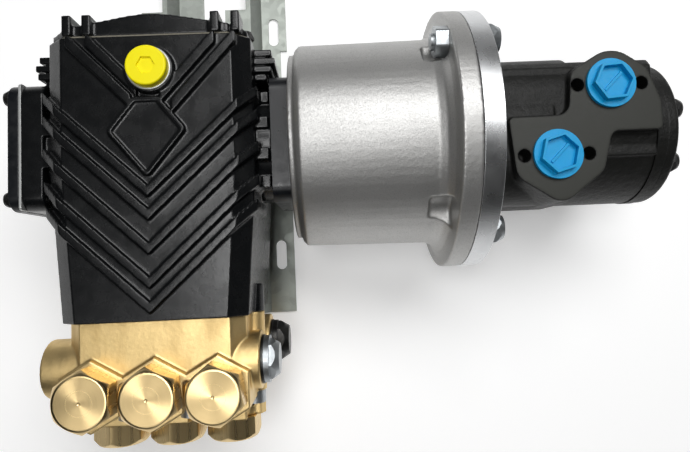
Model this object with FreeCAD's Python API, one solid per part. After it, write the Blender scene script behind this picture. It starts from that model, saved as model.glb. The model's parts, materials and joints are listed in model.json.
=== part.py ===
"""Triplex plunger high-pressure pump driven by an orbital hydraulic motor.

Layout: X runs along the crankshaft towards the motor, -Y points from the crankcase to the brass
manifold, +Z is up. Sizes are in millimetres. Shapes are built about the crankshaft axis with x = 0
on the middle cylinder, and export() moves them so that the origin is the centre of the left
rail's two anchor slots, on the floor.
"""
import FreeCAD, Part
import math
import os

V = FreeCAD.Vector
X_DIR, Y_DIR, Z_DIR = V(1, 0, 0), V(0, 1, 0), V(0, 0, 1)

# ---------------------------------------------------------------- driving dimensions
AXIS_HEIGHT = 86.0            # crankshaft axis above the floor, the radius of the motor ring
PITCH = 37.0                  # distance between neighbouring cylinders
THROW = 5.0                   # crank radius, half of the plunger stroke
ROD_LENGTH = 52.0
RUNNING = 0.05                # radial clearance of a running or sliding fit
SEAL_GAP = 0.08               # radial clearance modelled at a lip seal

CASE_TOP, CASE_BOTTOM = 52.0, -58.0
CASE_BACK, CASE_FRONT = 62.0, -109.5
CASE_HALF_BACK, CASE_HALF_FRONT = 62.0, 55.5
CASE_CHAMFER_W, CASE_CHAMFER_H = 11.0, 9.0
CASE_WALL = 10.0
CAVITY_TOP, CAVITY_BOTTOM = 37.0, -44.0
CASE_INNER = CASE_HALF_BACK - CASE_WALL
RIB_HEIGHT = 3.0
RIB_WIDTH, TOP_RIB_WIDTH = 6.6, 8.4       # along Y
RIB_SLOPE = 0.93              # rise of a V rib towards the back, per millimetre sideways
RIB_APEXES = (-33.0, -47.0, -67.0, -87.0, -101.5)
TOP_RIBS = ((-46.9, -9.0, 21.3), (-35.2, -5.5, 28.6),      # tab x, then x and y of the foot
            (41.8, 8.5, 23.5), (54.1, 15.0, 17.0))
TAB_WIDTH, TAB_END = 5.4, 75.5
FILLER_X, FILLER_Y, FILLER_R = 3.0, 39.8, 14.2
FILLER_SEAT = CASE_TOP + 4.5
LID_FACE = CASE_BACK + 5.0    # flat flange of the rear cover, under its screw heads
LID_CROWN = 77.5
GASKET = 1.0
DRAIN_FACE, DRAIN_Z = 80.0, -30.0

NECK_R = 37.0                 # round necks that carry the crankshaft bearings
NECK_END = 72.0
COVER_SIZE, COVER_ROUND = 80.0, 10.0
COVER_HOLE = 32.0             # bearing cover screws sit on a square, this far from the axis
NECK_HOLE = 23.7              # the same for the screws of the bearing flange
PILOT_HOLE = 33.0             # and for the screws of the bell housing
LEFT_HOUSING_END, LEFT_SHIM_END, LEFT_COVER_END = -81.5, -83.0, -89.5
LEFT_SPIGOT_END = -80.5
RIGHT_FLANGE_END = 84.0

JOURNAL_R, PIN_R, WEB_R = 16.0, 13.0, 20.0
ROD_BIG_R, ROD_WIDTH = 19.0, 16.0
ROD_EYE_R, ROD_EYE_WIDTH = 6.0, 10.0
WRIST_PIN_R = 3.5
CUP_BORE_R = 25.0
CROSSHEAD_R, CROSSHEAD_BORE_END = 15.0, -84.0
CROSSHEAD_BACK, CROSSHEAD_FRONT = 12.0, -22.5      # from the wrist pin, along Y
CROSSHEAD_SLOT_REACH = 16.6
PLUNGER_R, PLUNGER_LENGTH = 9.0, 57.5

MANIFOLD_TOP, MANIFOLD_BOTTOM = 46.0, -50.0
MANIFOLD_FRONT = -160.0
BOSS_TOP = 50.0
VALVE_Y = -152.0              # axis of the three delivery valves
SUCTION_FACE = -178.0
VALVE_BORE_R, VALVE_THROAT_R = 12.2, 6.0
CAP_FLATS, CAP_HEIGHT, CAP_FACE_R = 31.8, 14.0, 15.4
POPPET_R = 8.0
O_RING_DEPTH = -3.0           # of the valve caps, from the boss face
OUTLET_Y, OUTLET_Z, OUTLET_R = -138.0, 28.0, 9.3
INLET_Y, INLET_Z, INLET_R = -134.0, -25.0, 12.1
PORT_LEFT, PORT_RIGHT = -68.0, 61.0
PLUG_COLLAR_R, PLUG_COLLAR, WASHER = 14.5, 3.2, 1.6
EAR_X, EAR_Z, EAR_R = 53.4, 12.0, 7.4     # side bolts of the manifold pass between port and cylinder

BELL_START, BELL_END = 88.0, 193.0
BELL_R, BELL_ROOT_R, RING_R = 67.6, 69.0, 86.0
BELL_WALL, FLANGE_THICK = 8.0, 12.0
RING_END = 205.0
FLANGE_BOLT_CIRCLE = 76.0
NUT_ANGLES, STUD_ANGLES = (40, 220), (124, 304)     # from straight up towards the back
FLANGE_BOLT_ANGLES = NUT_ANGLES + STUD_ANGLES       # studs are tapped into the bell, without a nut
POCKET_ANGLES = (134, 314)    # cast pockets behind the flange
SPOT_FACE_R, STUD_DEPTH, FLANGE_NUT = 11.5, 9.0, 8.0
MOTOR_END = 312.0
MOTOR_R = 47.5
PORT_FACE = 54.0
PORT_A, PORT_B = V(245.0, -21.2, PORT_FACE), V(280.3, 21.0, PORT_FACE)
PORT_SCREW_SPACING = 39.4
PLUG_TOWER = 7.0
GEROTOR_END, COVER_END = 318.5, 326.5
END_BOLT_CIRCLE, END_BOLT_COUNT = 38.0, 7

RAIL_PITCH, RAIL_THICK, RAIL_STEP = 70.0, 2.5, 10.0
RAIL_LEFT_EDGE = -44.7
RAIL_FLAT, RAIL_WEB, RAIL_FOOT = 20.4, 8.0, 21.6
RAIL_FRONT, RAIL_BACK = -119.0, 168.0
RAIL_HOLE = 10.6              # foot bolt holes, from the rail's left edge
RAIL_NOTCH_DEPTH, RAIL_NOTCH_START, RAIL_NOTCH_END = 5.5, 62.0, 104.0
FOOT_XS = (RAIL_LEFT_EDGE + RAIL_HOLE, RAIL_LEFT_EDGE + RAIL_PITCH + RAIL_HOLE)
FOOT_YS = (45.0, -88.0)
SLOT_YS = (-71.5, 120.7)
SLOT_LENGTH, SLOT_R = 24.0, 4.2
FLOOR = -AXIS_HEIGHT
FOOT_LEVEL = FLOOR + RAIL_STEP + RAIL_THICK
SLOT_X = RAIL_LEFT_EDGE + RAIL_FLAT + RAIL_WEB + RAIL_FOOT / 2
ORIGIN = V(SLOT_X, sum(SLOT_YS) / 2, FLOOR)

CYLINDERS = (-PITCH, 0.0, PITCH)
CRANK_ANGLES = (0.0, 120.0, 240.0)     # of each throw, from the plunger direction


# ---------------------------------------------------------------- small helpers
def box(x0, x1, y0, y1, z0, z1):
    """An upright box between two corners."""
    return Part.makeBox(x1 - x0, y1 - y0, z1 - z0, V(x0, y0, z0))


def rod_x(r, x0, x1, y=0.0, z=0.0):
    """A cylinder along X."""
    return Part.makeCylinder(r, x1 - x0, V(x0, y, z), X_DIR)


def rod_y(r, y0, y1, x=0.0, z=0.0):
    """A cylinder along Y."""
    return Part.makeCylinder(r, y1 - y0, V(x, y0, z), Y_DIR)


def rod_z(r, z0, z1, x=0.0, y=0.0):
    """A cylinder along Z."""
    return Part.makeCylinder(r, z1 - z0, V(x, y, z0), Z_DIR)


def tube(make, r_out, r_in, a0, a1, *place):
    """A ring made with one of the rod functions."""
    return make(r_out, a0, a1, *place).cut(make(r_in, a0 - 1, a1 + 1, *place))


def join(first, *others):
    """Fuse shapes into one solid and drop the seams between coplanar faces."""
    return first.fuse(list(others)).removeSplitter()


def drill(shape, *tools):
    """Cut all tools from a shape."""
    return shape.cut(list(tools))


def group(shapes):
    """Separate solids kept in one node."""
    return Part.makeCompound(list(shapes))


def moved(shape, x=0.0, y=0.0, z=0.0):
    """A copy of a shape, shifted."""
    copy = shape.copy()
    copy.translate(V(x, y, z))
    return copy


def turned(shape, axis, angle, centre=V(0, 0, 0)):
    """A copy of a shape, turned about an axis."""
    copy = shape.copy()
    copy.rotate(centre, axis, angle)
    return copy


def hexagon(flats, height, base, axis, angle=0.0):
    """A hexagonal prism standing on base along axis; angle turns its first corner."""
    radius = flats / math.sqrt(3)
    corners = [V(radius * math.cos(math.radians(angle + 60 * i)),
                 radius * math.sin(math.radians(angle + 60 * i)), 0) for i in range(6)]
    prism = Part.Face(Part.makePolygon(corners + corners[:1])).extrude(V(0, 0, height))
    prism.Placement = FreeCAD.Placement(base, FreeCAD.Rotation(Z_DIR, axis))
    return prism


def rounded_prism(corners, start, height, axis=Z_DIR):
    """Extrude a polygon of (u, v, corner radius) points whose corners are tangent arcs.

    u, v are X, Y for a prism along Z and Y, Z for a prism along X.
    """
    points = [V(u, v, 0) for u, v, _ in corners]
    edges = []
    last_end = None
    first_start = None
    for i, (_, _, radius) in enumerate(corners):
        here = points[i]
        to_back = (points[i - 1] - here).normalize()
        to_next = (points[(i + 1) % len(points)] - here).normalize()
        half = to_back.getAngle(to_next) / 2
        reach = radius / math.tan(half)
        begin, finish = here + to_back * reach, here + to_next * reach
        bisector = (to_back + to_next).normalize()
        middle = here + bisector * (radius / math.sin(half) - radius)
        if last_end is not None:
            edges.append(Part.makeLine(last_end, begin))
        first_start = first_start or begin
        edges.append(Part.Arc(begin, middle, finish).toShape())
        last_end = finish
    edges.append(Part.makeLine(last_end, first_start))
    prism = Part.Face(Part.Wire(edges)).extrude(V(0, 0, height))
    if axis == X_DIR:
        matrix = FreeCAD.Matrix(0, 0, 1, start, 1, 0, 0, 0, 0, 1, 0, 0, 0, 0, 0, 1)
        prism.Placement = FreeCAD.Placement(matrix)
        return prism
    return moved(prism, z=start)


def rounded_square_x(size, radius, x0, x1):
    """A square plate with round corners, centred on the crankshaft axis."""
    h = size / 2
    corners = [(-h, -h, radius), (h, -h, radius), (h, h, radius), (-h, h, radius)]
    return rounded_prism(corners, x0, x1 - x0, X_DIR)


def hex_bolt(head_flats, head_height, shank_r, length, base, axis, angle=0.0):
    """Hexagon head outside base, shank inside; axis points out of the head."""
    head = hexagon(head_flats, head_height, base, axis, angle)
    crown = Part.makeCone(head_flats * 0.62, head_flats * 0.42, head_height * 1.02, base, axis)
    shank = Part.makeCylinder(shank_r, length, base - axis * length, axis)
    return join(head.common(crown), shank)


def socket_bolt(head_r, head_height, shank_r, length, base, axis):
    """Socket head cap screw; axis points out of the head."""
    head = Part.makeCylinder(head_r, head_height, base, axis)
    socket = hexagon(head_r * 0.95, head_height, base + axis * (head_height * 0.4), axis)
    shank = Part.makeCylinder(shank_r, length, base - axis * length, axis)
    return join(head.cut(socket), shank)


def export(name, shape):
    """Write one node."""
    placed = moved(shape, -ORIGIN.x, -ORIGIN.y, -ORIGIN.z)
    if not placed.isValid():
        print("not valid:", name)
    placed.exportStep("parts/%s.step" % name)


# ---------------------------------------------------------------- crankcase
def case_section(half, y, grow=0.0):
    """Chamfered section of the crankcase across Y; grow moves it outwards."""
    w, top, bottom = half + grow, CASE_TOP + grow, CASE_BOTTOM - grow
    cw, ch = CASE_CHAMFER_W, CASE_CHAMFER_H
    corners = [V(-w, y, top - ch), V(-w + cw, y, top), V(w - cw, y, top), V(w, y, top - ch),
               V(w, y, bottom + ch), V(w - cw, y, bottom), V(-w + cw, y, bottom),
               V(-w, y, bottom + ch)]
    return Part.makePolygon(corners + corners[:1])


def case_body(grow=0.0):
    """Outer form of the crankcase: parallel at the crank, tapered to the manifold."""
    taper_start = -22.0
    sections = [case_section(CASE_HALF_BACK, CASE_BACK, grow),
                case_section(CASE_HALF_BACK, taper_start, grow),
                case_section(CASE_HALF_FRONT, CASE_FRONT, grow)]
    return Part.makeLoft(sections, True, True)


def band(x0, y0, x1, y1, width):
    """Upright wall whose plan is a straight band, width measured along Y."""
    h = width / 2
    corners = [V(x0, y0 - h, 0), V(x1, y1 - h, 0), V(x1, y1 + h, 0), V(x0, y0 + h, 0)]
    return Part.Face(Part.makePolygon(corners + corners[:1])).extrude(V(0, 0, CASE_TOP + 20))


def case_ribs():
    """V ribs, the pairs of straight ribs and the plate rim, following the case's surface."""
    reach = CASE_HALF_BACK + RIB_HEIGHT
    bands = []
    for apex in RIB_APEXES:
        for side in (-1, 1):
            bands.append(band(0, apex, side * reach, apex + RIB_SLOPE * reach, RIB_WIDTH))
    for tab_x, foot_x, foot_y in TOP_RIBS:
        bands.append(band(foot_x, foot_y, tab_x, CASE_BACK - 2, TOP_RIB_WIDTH))
    return bands[0].fuse(bands[1:]).common(case_body(RIB_HEIGHT))


def name_plate():
    """Raised six-sided pad with a rim where a data plate would be."""
    outline = [(-7.5, 23.5, 2.5), (-23.5, 3.5, 3.0), (0.0, -25.0, 2.5),
               (23.5, 3.5, 3.0), (7.5, 23.5, 2.5)]
    pad = rounded_prism(outline, CASE_TOP - 2, RIB_HEIGHT + 2)
    inner = [(u * 0.88, v * 0.88 - 0.1, r * 0.7) for u, v, r in outline]
    return drill(pad, rounded_prism(inner, CASE_TOP + 1.8, RIB_HEIGHT))


def side_ribs():
    """Upright plates on both flanks where the V ribs run down beside the bearing necks."""
    plates = []
    for side in (-1, 1):
        for y in (28.0, 9.5, -10.5, -27.0):
            z_end = min(40.0, math.sqrt(NECK_R ** 2 - y ** 2) + 7.0)
            x0, x1 = sorted((side * 56.0, side * 70.5))
            plates.append(box(x0, x1, y - 3.6, y + 3.6, -z_end, z_end))
        for i in range(3):
            y = 45.0 + 5.6 * i
            x0, x1 = sorted((side * 56.0, side * (75.5 - 2.0 * abs(i - 1))))
            plates.append(box(x0, x1, y - 2.0, y + 2.0, -30, 35 - i))
        x0, x1 = sorted((side * 56.0, side * 70.0))
        plates.append(box(x0, x1, 38.5, 57.0, -28, 32))
    return plates


def crankcase():
    necks = [rod_x(NECK_R, -NECK_END, -50), rod_x(NECK_R, 50, NECK_END),
             rounded_square_x(COVER_SIZE, COVER_ROUND, LEFT_HOUSING_END, 4 - NECK_END)]
    filler = rod_z(FILLER_R, CASE_TOP - 4, FILLER_SEAT, FILLER_X, FILLER_Y)
    feet = []
    for x in FOOT_XS:
        feet.append(box(x - 10, x + 10, RAIL_FRONT + 12, 58, FOOT_LEVEL, CASE_BOTTOM + 6))
    for side in (-1, 1):
        feet.append(rod_y(EAR_R, CASE_FRONT, CASE_FRONT + 18, side * EAR_X, EAR_Z))
    outer = join(case_body(), case_ribs(), name_plate(), filler, *(necks + side_ribs() + feet))
    tools = [box(-CASE_INNER, CASE_INNER, -38, CASE_BACK + 1, CAVITY_BOTTOM, CAVITY_TOP),
             rod_x(30.0, LEFT_HOUSING_END - 1, 1 - CASE_INNER),
             rod_x(30.0, CASE_INNER - 1, NECK_END + 1),
             rod_z(9.0, 30, CASE_TOP + 10, FILLER_X, FILLER_Y)]
    for x in CYLINDERS:
        tools.append(rod_y(CROSSHEAD_R + RUNNING, CROSSHEAD_BORE_END, -37, x))
        tools.append(rod_y(10.0, -93, CROSSHEAD_BORE_END + 1, x))
        tools.append(rod_y(14.0, CASE_FRONT - 1, -92, x))
    for x, z in manifold_bolt_places():
        tools.append(rod_y(4.0, CASE_FRONT - 1, CASE_FRONT + 15, x, z))
    for x, z in rear_screw_places():
        tools.append(rod_y(3.0, CASE_BACK - 16, CASE_BACK + 1, x, z))
    for y, z in square_places(COVER_HOLE):
        tools.append(rod_x(3.0, LEFT_HOUSING_END - 1, LEFT_HOUSING_END + 6.5, y, z))
    for y, z in square_places(NECK_HOLE):
        tools.append(rod_x(3.0, CASE_HALF_BACK - 6, NECK_END + 1, y, z))
    for x in FOOT_XS:
        for y in FOOT_YS:
            tools.append(rod_z(5.0, FOOT_LEVEL - 1, FOOT_LEVEL + 18, x, y))
    return drill(outer, *tools)


def rear_screw_places():
    """Rear cover screws, along Y."""
    return [(sx * u, sz * w - 3) for sx in (-1, 1) for sz in (-1, 1)
            for u, w in ((56.5, 30.0), (22.0, 46.0))]


def square_places(half):
    """The four (y, z) corners of a square of screws about the crankshaft axis."""
    return [(sy * half, sz * half) for sy in (-1, 1) for sz in (-1, 1)]


def lid_section(y):
    """Outline of the rear cover, just inside the crankcase's own outline."""
    return case_section(CASE_HALF_BACK - 1, y, -1.0)


def rear_cover():
    """Crowned lid of the crankcase with four tabs that carry the top ribs over the edge."""
    gasket_face = CASE_BACK + GASKET
    flange = Part.makeLoft([lid_section(gasket_face), lid_section(LID_FACE)], True, True)
    envelope = Part.makeLoft([lid_section(gasket_face), lid_section(LID_CROWN + 5)], True, True)
    crown = rounded_prism([(-57, gasket_face, 1.0), (59, gasket_face, 1.0), (59, LID_FACE, 1.0),
                           (2, LID_CROWN, 90.0), (-57, LID_FACE, 1.0)], CASE_BOTTOM, 2 * CASE_TOP + 6)
    drain_boss = rod_y(12.0, LID_FACE, DRAIN_FACE, 0, DRAIN_Z)
    tabs = []
    for x, _, _ in TOP_RIBS:
        half = TAB_WIDTH / 2
        tabs.append(box(x - half, x + half, gasket_face, TAB_END, CAVITY_TOP, CASE_TOP + 1.5))
    lid = join(flange, crown.common(envelope), drain_boss, *tabs)
    hollow = box(-30, 30, gasket_face - 1, 69, -38, 34)
    holes = []
    for x, z in rear_screw_places():
        holes.append(rod_y(3.3, gasket_face - 1, gasket_face + 30, x, z))
        holes.append(rod_y(6.5, LID_FACE, LID_FACE + 30, x, z))
    drain = rod_y(8.0, 65, DRAIN_FACE + 1, 0, DRAIN_Z)
    return drill(lid, hollow, drain, *holes)


def rear_gasket():
    outer = Part.makeLoft([lid_section(CASE_BACK), lid_section(CASE_BACK + GASKET)], True, True)
    holes = [rod_y(3.3, CASE_BACK - 1, CASE_BACK + 2, x, z) for x, z in rear_screw_places()]
    window = box(-48, 48, CASE_BACK - 1, CASE_BACK + 2, -42, 36)
    return drill(outer, window, *holes)


def cover_screws():
    """Hexagon screws of the rear cover and of both bearing covers."""
    screws = []
    for x, z in rear_screw_places():
        screws.append(hex_bolt(10.0, 5.0, 3.0, 17.0, V(x, LID_FACE, z), Y_DIR))
    for y, z in square_places(COVER_HOLE):
        screws.append(hex_bolt(10.0, 5.0, 3.0, 13.0, V(LEFT_COVER_END, y, z), -X_DIR))
    for y, z in square_places(NECK_HOLE):
        screws.append(hex_bolt(10.0, 5.0, 3.0, 14.0, V(NECK_END + 6, y, z), X_DIR))
    return group(screws)


def left_bearing_cover():
    plate = rounded_square_x(COVER_SIZE, COVER_ROUND, LEFT_COVER_END, LEFT_SHIM_END)
    spigot = rod_x(29.9, LEFT_SHIM_END - 1, LEFT_SPIGOT_END)
    relief = rod_x(18.0, LEFT_SHIM_END - 3, -80)
    holes = [rod_x(3.3, LEFT_COVER_END - 1, -80, y, z) for y, z in square_places(COVER_HOLE)]
    return drill(join(plate, spigot), relief, *holes)


def left_cover_shim():
    plate = rounded_square_x(COVER_SIZE - 0.8, 2.0, LEFT_SHIM_END, LEFT_HOUSING_END)
    holes = [rod_x(3.3, LEFT_COVER_END - 1, -80, y, z) for y, z in square_places(COVER_HOLE)]
    return drill(plate, rod_x(30.5, LEFT_SHIM_END - 1, LEFT_HOUSING_END + 1), *holes)


def right_bearing_flange():
    """Bearing carrier between the crankcase and the bell housing."""
    plate = rounded_square_x(COVER_SIZE, COVER_ROUND, NECK_END, RIGHT_FLANGE_END)
    spigot = rod_x(29.9, NECK_END - 4, NECK_END + 1)
    pilot = rod_x(33.0, RIGHT_FLANGE_END - 1, RIGHT_FLANGE_END + 10)
    seal_seat = rod_x(24.0, NECK_END + 8, RIGHT_FLANGE_END + 11)
    bore = rod_x(19.0, NECK_END - 5, RIGHT_FLANGE_END + 11)
    tools = [seal_seat, bore]
    for y, z in square_places(NECK_HOLE):
        tools.append(rod_x(3.3, NECK_END - 1, RIGHT_FLANGE_END + 1, y, z))
        tools.append(rod_x(6.6, NECK_END + 6, RIGHT_FLANGE_END + 1, y, z))
    for y, z in square_places(PILOT_HOLE):
        tools.append(rod_x(3.0, NECK_END + 1, RIGHT_FLANGE_END + 1, y, z))
    return drill(join(plate, spigot, pilot), *tools)


def bearing_cups():
    """Outer races, pressed in the necks."""
    return group([tube(rod_x, 30.0, CUP_BORE_R, -80, -64), tube(rod_x, 30.0, CUP_BORE_R, 53.5, 67.5)])


def crank_oil_seal():
    return tube(rod_x, 24.0, 15.0 + SEAL_GAP, NECK_END + 8.5, RIGHT_FLANGE_END + 2)


def plunger_oil_seals():
    return group([tube(rod_y, 14.0, PLUNGER_R + SEAL_GAP, -104, -96, x) for x in CYLINDERS])


def oil_cap():
    """Filler cap with a finger hexagon and its dipstick."""
    x, y, seat = FILLER_X, FILLER_Y, FILLER_SEAT
    top = seat + 6.4
    washer = rod_z(12.5, seat, seat + 1.2, x, y)
    head = rod_z(12.0, seat + 1.2, top, x, y)
    head = head.makeFillet(1.2, [e for e in head.Edges if e.BoundBox.ZMin > top - 0.1])
    dimple = hexagon(9.5, 4, V(x, y, top - 1.5), Z_DIR)
    stem = rod_z(8.8, seat - 14, seat + 0.5, x, y)
    dipstick = box(x - 2.5, x + 2.5, y - 1, y + 1, 30.5, seat - 13)
    return join(washer, head, stem, dipstick).cut(dimple)


def drain_plug():
    return hex_bolt(17.0, 7.0, 8.0, 8.0, V(0, DRAIN_FACE, DRAIN_Z), Y_DIR)


# ---------------------------------------------------------------- crank train
def pin_offset(angle):
    """Centre of a crank pin, as (y, z)."""
    return (-THROW * math.cos(math.radians(angle)), THROW * math.sin(math.radians(angle)))


def crankshaft():
    half_pin = ROD_WIDTH / 2 + 0.5
    pieces = [rod_x(JOURNAL_R, -79, -49), rod_x(JOURNAL_R, 49, 70),
              rod_x(15.0, 69, 100), rod_x(14.0, 99, 135)]
    edges = [-50.0]
    for x in CYLINDERS:
        edges += [x - half_pin, x + half_pin]
    edges.append(50.0)
    for start, end in zip(edges[0::2], edges[1::2]):
        pieces.append(rod_x(WEB_R, start, end))
    for x, angle in zip(CYLINDERS, CRANK_ANGLES):
        y, z = pin_offset(angle)
        pieces.append(rod_x(PIN_R, x - half_pin - 0.5, x + half_pin + 0.5, y, z))
    key = box(108, 132, -4, 4, 10, 17)
    return drill(join(pieces[0], *pieces[1:]), key)


def bearing_cones():
    """Inner races with their rollers."""
    cones = []
    for start in (-79.0, 53.0):
        ring = tube(rod_x, 20.5, JOURNAL_R, start, start + 14)
        rollers = []
        for i in range(16):
            angle = math.radians(360.0 * i / 16)
            y, z = 22.55 * math.cos(angle), 22.55 * math.sin(angle)
            rollers.append(rod_x(2.05, start + 2, start + 12, y, z))
        cones.append(ring)
        cones += rollers
    return group(cones)


def con_rod(x, angle):
    y, z = pin_offset(angle)
    half, eye = ROD_WIDTH / 2, ROD_EYE_WIDTH / 2
    eye_y = y - ROD_LENGTH
    big = rod_x(ROD_BIG_R, x - half, x + half, y, z)
    shank = box(x - 4.5, x + 4.5, eye_y, y - 14, z - 5.5, z + 5.5)
    small = rod_x(ROD_EYE_R, x - eye, x + eye, eye_y, z)
    bolts = []
    for side in (-1, 1):
        bolts.append(box(x - 5, x + 5, y - 6, y + 6, z + side * 15 - 3.5, z + side * 15 + 3.5))
    rod = join(big, shank, small, *bolts)
    return drill(rod, rod_x(PIN_R + RUNNING, x - half - 1, x + half + 1, y, z),
                 rod_x(WRIST_PIN_R, x - eye - 1, x + eye + 1, eye_y, z))


def crosshead(x, angle):
    """Guide piston: an open cup with the two ends of its wrist pin."""
    centre = pin_offset(angle)[0] - ROD_LENGTH
    body = rod_y(CROSSHEAD_R, centre + CROSSHEAD_FRONT, centre + CROSSHEAD_BACK, x)
    slot = box(x - 5.6, x + 5.6, centre - CROSSHEAD_SLOT_REACH, centre + 20, -11.6, 11.6)
    spigot = rod_y(5.0, centre + CROSSHEAD_FRONT - 30, centre + CROSSHEAD_FRONT + 1, x)
    pins = [rod_x(WRIST_PIN_R, x - 14, x - 5.4, centre), rod_x(WRIST_PIN_R, x + 5.4, x + 14, centre)]
    return group([join(body, spigot).cut([slot] + pins)] + pins)


def plunger(x, angle):
    """Ceramic plunger on the crosshead's spigot."""
    start = pin_offset(angle)[0] - ROD_LENGTH + CROSSHEAD_FRONT
    body = rod_y(PLUNGER_R, start - PLUNGER_LENGTH, start, x)
    return body.cut(rod_y(5.0, start - 30, start + 1, x))


# ---------------------------------------------------------------- manifold and valves
def manifold_bolt_places():
    """Long bolts that hold the manifold, as (x, z)."""
    half = PITCH / 2
    return [(sx * x, z) for sx in (-1, 1)
            for x, z in ((half, 38.0), (half, -40.0), (EAR_X, EAR_Z), (47.0, -43.5))]


def manifold_block():
    top_half = CASE_HALF_FRONT - CASE_CHAMFER_W
    half = CASE_HALF_FRONT - 2.5
    corners = [V(-half, CASE_FRONT, MANIFOLD_TOP - 8), V(-top_half, CASE_FRONT, MANIFOLD_TOP),
               V(top_half, CASE_FRONT, MANIFOLD_TOP), V(half, CASE_FRONT, MANIFOLD_TOP - 8),
               V(half, CASE_FRONT, MANIFOLD_BOTTOM), V(-half, CASE_FRONT, MANIFOLD_BOTTOM)]
    profile = Part.Face(Part.makePolygon(corners + corners[:1]))
    return profile.extrude(V(0, MANIFOLD_FRONT - CASE_FRONT, 0))


def manifold():
    solids = [manifold_block()]
    for x in CYLINDERS:
        solids.append(hexagon(PITCH, BOSS_TOP - 12, V(x, VALVE_Y, 12), Z_DIR, 30))
        solids.append(hexagon(PITCH, -12 - SUCTION_FACE + MANIFOLD_FRONT + 12,
                              V(x, MANIFOLD_FRONT, 0), -Y_DIR, 0))
    for y, z, r in ((OUTLET_Y, OUTLET_Z, 18.0), (INLET_Y, INLET_Z, 19.0)):
        solids.append(rod_x(r, PORT_LEFT, -40, y, z))
        solids.append(rod_x(r, 40, PORT_RIGHT, y, z))
    for side in (-1, 1):
        solids.append(rod_y(EAR_R, MANIFOLD_FRONT, CASE_FRONT, side * EAR_X, EAR_Z))
    body = join(solids[0], *solids[1:])
    tools = [rod_x(5.0, PORT_LEFT + 5, PORT_RIGHT - 5, OUTLET_Y, OUTLET_Z),
             rod_x(6.5, PORT_LEFT + 5, PORT_RIGHT - 5, INLET_Y, INLET_Z)]
    for y, z, r in ((OUTLET_Y, OUTLET_Z, OUTLET_R), (INLET_Y, INLET_Z, INLET_R)):
        tools.append(rod_x(r, PORT_LEFT - 1, PORT_LEFT + 15, y, z))
        tools.append(rod_x(r, PORT_RIGHT - 15, PORT_RIGHT + 1, y, z))
    for x in CYLINDERS:
        tools += cylinder_bores(x)
    for x, z in manifold_bolt_places():
        tools.append(rod_y(4.2, MANIFOLD_FRONT - 1, CASE_FRONT + 1, x, z))
        tools.append(rod_y(7.0, MANIFOLD_FRONT - 30, MANIFOLD_FRONT, x, z))
    for side in (-1, 1):
        x = side * PITCH / 2
        tools.append(box(x - 1.8, x + 1.8, -190, -147, 30, BOSS_TOP + 1))
        tools.append(rod_z(1.8, 30, BOSS_TOP + 1, x, -147))
    return drill(body, *tools)


def cylinder_bores(x):
    """Everything bored out of the manifold for one cylinder."""
    return [rod_y(14.5, -130, CASE_FRONT + 1, x), rod_y(10.5, -147, -129, x),
            rod_y(VALVE_BORE_R, SUCTION_FACE - 1, -146, x),
            rod_y(15.0, -172, -166, x),
            rod_y(5.0, -171, INLET_Y, x, -18.0),
            rod_z(7.0, 0, 15, x, VALVE_Y),
            rod_z(VALVE_BORE_R, 14, BOSS_TOP + 1, x, VALVE_Y)]


def manifold_bolts():
    bolts = []
    for x, z in manifold_bolt_places():
        base = V(x, MANIFOLD_FRONT, z)
        bolts.append(socket_bolt(6.5, 8.0, 4.0, 64.0, base, -Y_DIR))
    return group(bolts)


def plunger_packings():
    rings = []
    for x in CYLINDERS:
        for start in (-129.0, -120.5):
            rings.append(tube(rod_y, 14.5, PLUNGER_R + SEAL_GAP, start, start + 7.5, x))
    return group(rings)


def on_valve_axes(shape):
    """Copies of a valve piece drawn along +Z from its seat face, at all six valves."""
    copies = []
    for x in CYLINDERS:
        copies.append(to_suction(shape, x))
        copies.append(to_discharge(shape, x))
    return copies


def to_discharge(shape, x):
    """Place a valve piece in a delivery valve, its seat face 20 above the plunger axis."""
    return moved(shape, x, VALVE_Y, 20.0)


def to_suction(shape, x):
    """Place a valve piece in a suction valve, opening towards the plunger."""
    return moved(turned(shape, X_DIR, -90), x, -158.5, 0)


def valve_seats():
    seat = tube(rod_z, VALVE_BORE_R - 0.05, VALVE_THROAT_R, -6, 0)
    return group(on_valve_axes(seat))


def valve_cages():
    """Open cages that hold the springs, with four windows each."""
    cage = drill(rod_z(12.1, 0, 12), rod_z(9.6, -1, 10.4), rod_z(2.0, 5, 13))
    windows = [box(-20, 20, -4.5, 4.5, 2.5, 9.5), box(-4.5, 4.5, -20, 20, 2.5, 9.5)]
    return group(on_valve_axes(drill(cage, *windows)))


def valve_poppet():
    return join(rod_z(POPPET_R, 0, 3), rod_z(2.9, 2.5, 7.6))


def valve_spring():
    """Compression spring of a valve, closed in outline, from the poppet to the cage."""
    turns, wire_r, coil_r, start, end = 4, 0.55, 5.0, 3.05, 10.35
    height = end - start - 2 * wire_r
    helix = Part.makeHelix(height / turns, height, coil_r)
    section = Part.Wire(Part.makeCircle(wire_r, V(coil_r, 0, 0), Y_DIR))
    coil = Part.Wire(helix).makePipeShell([section], True, False)
    return moved(coil, z=start + wire_r)


def valve_cap():
    """Hexagonal valve cap with a turned face, drawn on its boss at z = 0."""
    angle = 5.0
    head = hexagon(CAP_FLATS, CAP_HEIGHT, V(0, 0, 0), Z_DIR, angle)
    corner = CAP_FLATS / math.sqrt(3)
    cone = Part.makeCone(corner + 9.0, CAP_FACE_R, CAP_HEIGHT)
    lower = rod_z(corner - 0.15, 0, CAP_HEIGHT)
    groove = tube(rod_z, 13.0, 10.4, O_RING_DEPTH - 1.0, O_RING_DEPTH + 1.0)
    return join(head.common(cone).common(lower), rod_z(12.1, -6, 0.5)).cut(groove)


def suction_valve_caps():
    cap = turned(valve_cap(), X_DIR, 90)
    return group([moved(cap, x, SUCTION_FACE, 0) for x in CYLINDERS])


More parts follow.
